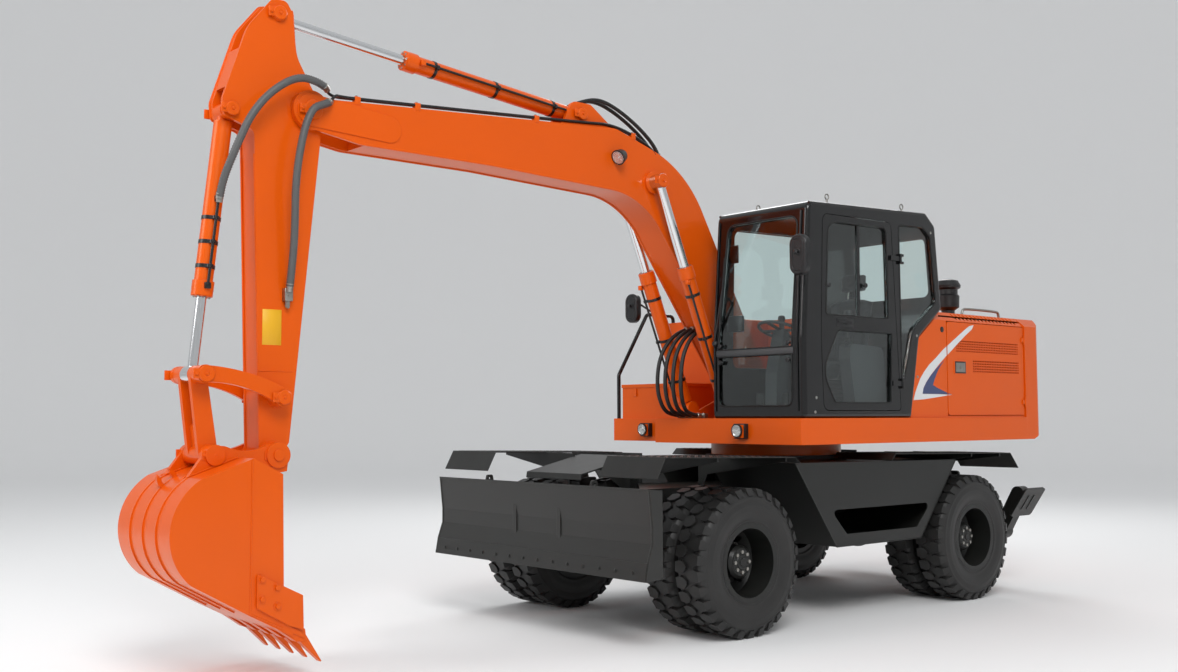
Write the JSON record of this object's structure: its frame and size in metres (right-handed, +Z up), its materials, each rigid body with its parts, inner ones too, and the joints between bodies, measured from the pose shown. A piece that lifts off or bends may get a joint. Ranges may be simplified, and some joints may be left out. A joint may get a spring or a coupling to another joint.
{
  "type": "wheeled excavator",
  "caption": "Excavator on twin-tyred wheels with a slewing upper structure, cab, boom, arm, bucket, dozer blade and outriggers.",
  "frame": {"origin": "on the floor under the middle of the machine as it stands in its rest pose", "axes": "+X forward, towards the boom and the dozer blade; +Y to the machine's left, the cab's side; +Z up"},
  "size_m": [7.9891, 2.7895, 4.206],
  "materials": {
    "upper_paint": "gloss orange enamel",
    "undercarriage_paint": "satin dark grey enamel",
    "blade_paint": "satin grey enamel, lightly scuffed",
    "cab_paint": "gloss black enamel",
    "cast_steel": "rough casting",
    "tyre": "matt rubber",
    "rim_paint": "satin dark grey enamel",
    "rod_chrome": "polished hard chrome",
    "glass": "lightly tinted safety glass",
    "seat_cloth": "woven seat cover",
    "trim_plastic": "fine grained plastic"
  },
  "bodies": {
    "undercarriage": {"chassis_frame": "undercarriage_paint", "slew_ring": "cast_steel", "fenders": "undercarriage_paint", "front_axle": "undercarriage_paint", "rear_axle": "undercarriage_paint", "driveline": "undercarriage_paint"},
    "upper": {"upper_frame": "upper_paint", "counterweight": "upper_paint", "engine_hood": "upper_paint", "engine_block": "cast_steel", "tanks": "upper_paint", "tool_box": "upper_paint", "precleaner": "trim_plastic", "handrails": "cab_paint", "mirrors": "trim_plastic", "cab_shell": "cab_paint", "cab_glass": "glass", "operator_seat": "seat_cloth", "cab_controls": "trim_plastic"},
    "cab_door": {"cab_door": "cab_paint", "cab_door_glass": "glass"},
    "wheel_front_left": {"tyres_front_left": "tyre", "rims_front_left": "rim_paint"},
    "wheel_front_right": {"tyres_front_right": "tyre", "rims_front_right": "rim_paint"},
    "wheel_rear_left": {"tyres_rear_left": "tyre", "rims_rear_left": "rim_paint"},
    "wheel_rear_right": {"tyres_rear_right": "tyre", "rims_rear_right": "rim_paint"},
    "blade_arms": {"blade_arms": "blade_paint"},
    "blade_links": {"blade_links": "blade_paint"},
    "dozer_blade": {"dozer_blade": "blade_paint"},
    "blade_cylinder_barrels": {"blade_cylinder_barrels": "undercarriage_paint"},
    "blade_cylinder_rods": {"blade_cylinder_rods": "rod_chrome"},
    "knuckle_left": {"knuckle_left": "undercarriage_paint"},
    "knuckle_right": {"knuckle_right": "undercarriage_paint"},
    "tie_rod": {"tie_rod": "undercarriage_paint"},
    "tool_box_lid": {"tool_box_lid": "upper_paint"},
    "engine_door_left": {"engine_door_left": "upper_paint"},
    "engine_door_right": {"engine_door_right": "upper_paint"},
    "boom": {"boom": "upper_paint"},
    "boom_cylinder_barrels": {"boom_cylinder_barrels": "upper_paint"},
    "boom_cylinder_rods": {"boom_cylinder_rods": "rod_chrome"},
    "arm": {"arm": "upper_paint"},
    "arm_cylinder_barrel": {"arm_cylinder_barrel": "upper_paint"},
    "arm_cylinder_rod": {"arm_cylinder_rod": "rod_chrome"},
    "bucket_cylinder_barrel": {"bucket_cylinder_barrel": "upper_paint"},
    "bucket_cylinder_rod": {"bucket_cylinder_rod": "rod_chrome"},
    "guide_links": {"guide_links": "upper_paint"},
    "bucket_link": {"bucket_link": "upper_paint"},
    "bucket": {"bucket": "upper_paint"},
    "outrigger_left": {"outrigger_left": "undercarriage_paint"},
    "outrigger_barrel_left": {"outrigger_barrel_left": "undercarriage_paint"},
    "outrigger_rod_left": {"outrigger_rod_left": "rod_chrome"},
    "outrigger_right": {"outrigger_right": "undercarriage_paint"},
    "outrigger_barrel_right": {"outrigger_barrel_right": "undercarriage_paint"},
    "outrigger_rod_right": {"outrigger_rod_right": "rod_chrome"}
  },
  "joints": [
    {"name": "slew", "type": "hinge", "parent": "undercarriage", "child": "upper", "pos_m": [-1.58, 0, 1.235], "axis": [0, 0, 1], "continuous": true},
    {"name": "steer_left", "type": "hinge", "parent": "undercarriage", "child": "knuckle_left", "pos_m": [0.12, 0.55, 0.527], "axis": [0, 0, 1], "range_deg": [-30, 30]},
    {"name": "steer_right", "type": "hinge", "parent": "undercarriage", "child": "knuckle_right", "pos_m": [0.12, -0.55, 0.527], "axis": [0, 0, 1], "range_deg": [-31, 31]},
    {"name": "tie_rod_turn", "type": "hinge", "parent": "knuckle_left", "child": "tie_rod", "pos_m": [-0.14, 0.55, 0.43], "axis": [0, 0, 1], "range_deg": [-31, 31]},
    {"name": "wheel_front_left_spin", "type": "hinge", "parent": "knuckle_left", "child": "wheel_front_left", "pos_m": [0.12, 0.95, 0.527], "axis": [0, 1, 0], "continuous": true},
    {"name": "wheel_rear_left_spin", "type": "hinge", "parent": "undercarriage", "child": "wheel_rear_left", "pos_m": [-2.7, 0.95, 0.527], "axis": [0, 1, 0], "continuous": true},
    {"name": "wheel_front_right_spin", "type": "hinge", "parent": "knuckle_right", "child": "wheel_front_right", "pos_m": [0.12, -0.95, 0.527], "axis": [0, 1, 0], "continuous": true},
    {"name": "wheel_rear_right_spin", "type": "hinge", "parent": "undercarriage", "child": "wheel_rear_right", "pos_m": [-2.7, -0.95, 0.527], "axis": [0, 1, 0], "continuous": true},
    {"name": "blade_lift", "type": "hinge", "parent": "undercarriage", "child": "blade_arms", "pos_m": [0.482, 0, 0.42], "axis": [0, -1, 0], "range_deg": [-72, 3]},
    {"name": "blade_link_turn", "type": "hinge", "parent": "undercarriage", "child": "blade_links", "pos_m": [0.482, 0, 0.655], "axis": [0, -1, 0], "range_deg": [-73.5, 4.5]},
    {"name": "blade_level", "type": "hinge", "parent": "blade_arms", "child": "dozer_blade", "pos_m": [0.89158, 0, 0.70679], "axis": [0, -1, 0], "range_deg": [-4.5, 73.5]},
    {"name": "blade_cylinder_turn", "type": "hinge", "parent": "undercarriage", "child": "blade_cylinder_barrels", "pos_m": [0.545, 0, 1.05], "axis": [0, -1, 0], "range_deg": [-4.38, 0.27]},
    {"name": "blade_cylinder_slide", "type": "slide", "parent": "blade_cylinder_barrels", "child": "blade_cylinder_rods", "axis": [0.2797, 0, -0.9601], "range_m": [-0.0184, 0.2993]},
    {"name": "outrigger_left_swing", "type": "hinge", "parent": "undercarriage", "child": "outrigger_left", "pos_m": [-3.74, 0.36, 0.55], "axis": [-1, 0, 0], "range_deg": [0, 62]},
    {"name": "outrigger_left_cylinder_turn", "type": "hinge", "parent": "undercarriage", "child": "outrigger_barrel_left", "pos_m": [-3.74, 0.3, 0.95], "axis": [-1, 0, 0], "range_deg": [-0.7, 35.75]},
    {"name": "outrigger_left_cylinder_slide", "type": "slide", "parent": "outrigger_barrel_left", "child": "outrigger_rod_left", "axis": [0, 0.9085, -0.4179], "range_m": [-0.0059, 0.295]},
    {"name": "outrigger_right_swing", "type": "hinge", "parent": "undercarriage", "child": "outrigger_right", "pos_m": [-3.74, -0.36, 0.55], "axis": [1, 0, 0], "range_deg": [0, 62]},
    {"name": "outrigger_right_cylinder_turn", "type": "hinge", "parent": "undercarriage", "child": "outrigger_barrel_right", "pos_m": [-3.74, -0.3, 0.95], "axis": [1, 0, 0], "range_deg": [-0.7, 35.75]},
    {"name": "outrigger_right_cylinder_slide", "type": "slide", "parent": "outrigger_barrel_right", "child": "outrigger_rod_right", "axis": [0, -0.9085, -0.4179], "range_m": [-0.0059, 0.295]},
    {"name": "boom_lift", "type": "hinge", "parent": "upper", "child": "boom", "pos_m": [-1.25, 0, 1.75], "axis": [0, -1, 0], "range_deg": [-52, 33]},
    {"name": "boom_cylinder_turn", "type": "hinge", "parent": "upper", "child": "boom_cylinder_barrels", "pos_m": [-0.72, 0, 1.63], "axis": [0, -1, 0], "range_deg": [-58.47, 37.78]},
    {"name": "boom_cylinder_slide", "type": "slide", "parent": "boom_cylinder_barrels", "child": "boom_cylinder_rods", "axis": [0.3839, 0, 0.9234], "range_m": [-0.4154, 0.2685]},
    {"name": "arm_swing", "type": "hinge", "parent": "boom", "child": "arm", "pos_m": [3, 0, 3.522], "axis": [0, 1, 0], "range_deg": [-86, 31]},
    {"name": "arm_cylinder_turn", "type": "hinge", "parent": "boom", "child": "arm_cylinder_barrel", "pos_m": [0.705, 0, 3.865], "axis": [0, 1, 0], "range_deg": [-0.2668, 0.7068]},
    {"name": "arm_cylinder_slide", "type": "slide", "parent": "arm_cylinder_barrel", "child": "arm_cylinder_rod", "axis": [0.995, 0, 0.0995], "range_m": [-0.8205, 0.3097]},
    {"name": "bucket_curl", "type": "hinge", "parent": "arm", "child": "bucket", "pos_m": [3.227, 0, 1.334], "axis": [0, 1, 0], "range_deg": [-55, 105]},
    {"name": "guide_turn", "type": "hinge", "parent": "arm", "child": "guide_links", "pos_m": [3.199, 0, 1.688], "axis": [0, 1, 0], "range_deg": [-44.81, 83.31]},
    {"name": "link_turn", "type": "hinge", "parent": "bucket", "child": "bucket_link", "pos_m": [3.63, 0, 1.343], "axis": [0, 1, 0], "range_deg": [-81.15, 43.65]},
    {"name": "bucket_cylinder_turn", "type": "hinge", "parent": "arm", "child": "bucket_cylinder_barrel", "pos_m": [3.521, 0, 3.456], "axis": [0, 1, 0], "range_deg": [-0.35, 0.65]},
    {"name": "bucket_cylinder_slide", "type": "slide", "parent": "bucket_cylinder_barrel", "child": "bucket_cylinder_rod", "axis": [0.1091, 0, -0.994], "range_m": [-0.3371, 0.6267]},
    {"name": "cab_door_swing", "type": "hinge", "parent": "upper", "child": "cab_door", "pos_m": [-1.685, 1.262, 2.3], "axis": [0, 0, 1], "range_deg": [0, 150]},
    {"name": "engine_door_left_swing", "type": "hinge", "parent": "upper", "child": "engine_door_left", "pos_m": [-3.571, 1.234, 1.95], "axis": [0, 0, 1], "range_deg": [0, 110]},
    {"name": "engine_door_right_swing", "type": "hinge", "parent": "upper", "child": "engine_door_right", "pos_m": [-3.571, -1.234, 1.95], "axis": [0, 0, -1], "range_deg": [0, 110]},
    {"name": "tool_box_lid_lift", "type": "hinge", "parent": "upper", "child": "tool_box_lid", "pos_m": [-1.438, 0, 1.8535], "axis": [0, -1, 0], "range_deg": [0, 80]}
  ],
  "couplings": [
    {"joint": "steer_right", "follows": "steer_left", "ratio": 1},
    {"joint": "tie_rod_turn", "follows": "steer_left", "ratio": -1},
    {"joint": "blade_link_turn", "follows": "blade_lift", "ratio": 1},
    {"joint": "blade_level", "follows": "blade_lift", "ratio": -1},
    {"joint": "blade_cylinder_turn", "follows": "blade_lift", "ratio": 0.0596},
    {"joint": "blade_cylinder_slide", "follows": "blade_lift", "m_per_rad": -0.2332},
    {"joint": "outrigger_left_cylinder_turn", "follows": "outrigger_left_swing", "ratio": 0.5653},
    {"joint": "outrigger_left_cylinder_slide", "follows": "outrigger_left_swing", "m_per_rad": 0.2672},
    {"joint": "outrigger_right_cylinder_turn", "follows": "outrigger_right_swing", "ratio": 0.5653},
    {"joint": "outrigger_right_cylinder_slide", "follows": "outrigger_right_swing", "m_per_rad": 0.2672},
    {"joint": "boom_cylinder_turn", "follows": "boom_lift", "ratio": 1.0889},
    {"joint": "boom_cylinder_slide", "follows": "boom_lift", "m_per_rad": 0.4431},
    {"joint": "arm_cylinder_turn", "follows": "arm_swing", "ratio": -0.008},
    {"joint": "arm_cylinder_slide", "follows": "arm_swing", "m_per_rad": 0.5321},
    {"joint": "guide_turn", "follows": "bucket_curl", "ratio": 0.77},
    {"joint": "link_turn", "follows": "bucket_curl", "ratio": -0.75},
    {"joint": "bucket_cylinder_turn", "follows": "bucket_curl", "ratio": 0.006},
    {"joint": "bucket_cylinder_slide", "follows": "bucket_curl", "m_per_rad": 0.3318}
  ]
}
